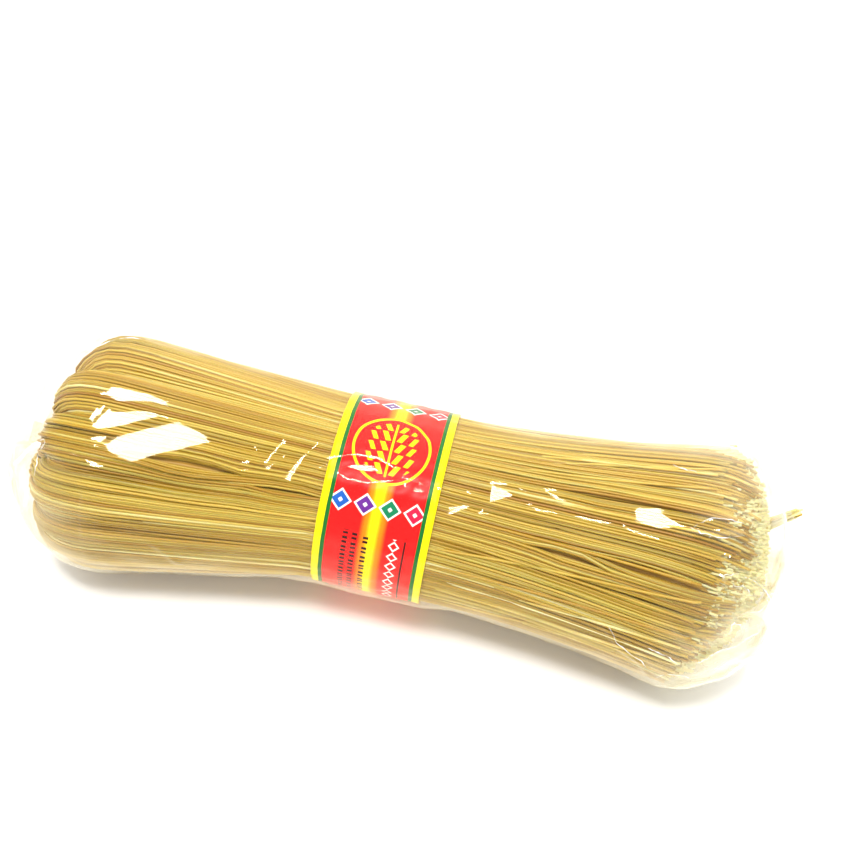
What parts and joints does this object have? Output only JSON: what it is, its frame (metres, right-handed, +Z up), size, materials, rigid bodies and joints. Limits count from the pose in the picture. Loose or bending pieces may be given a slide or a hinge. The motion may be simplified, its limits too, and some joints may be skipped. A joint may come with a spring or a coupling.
{
  "type": "pack of dried vermicelli",
  "caption": "Waisted bundle of long dried starch strands, folded at one end and cut at the other, in a clear bag with a paper band round its middle.",
  "frame": {"origin": "on the surface that the pack rests on, under the middle of its outline", "axes": "+Z up, +X along the bundle from its folded end to its cut end"},
  "size_m": [0.2588, 0.0868, 0.0805],
  "materials": {
    "dried_vermicelli": "satin, slightly see-through dried starch",
    "printed_paper": "coated paper with a plain printed pattern",
    "clear_film": "thin crumpled clear film"
  },
  "bodies": {
    "root": {"bagged_vermicelli": "dried_vermicelli", "paper_band": "printed_paper"}
  },
  "joints": []
}
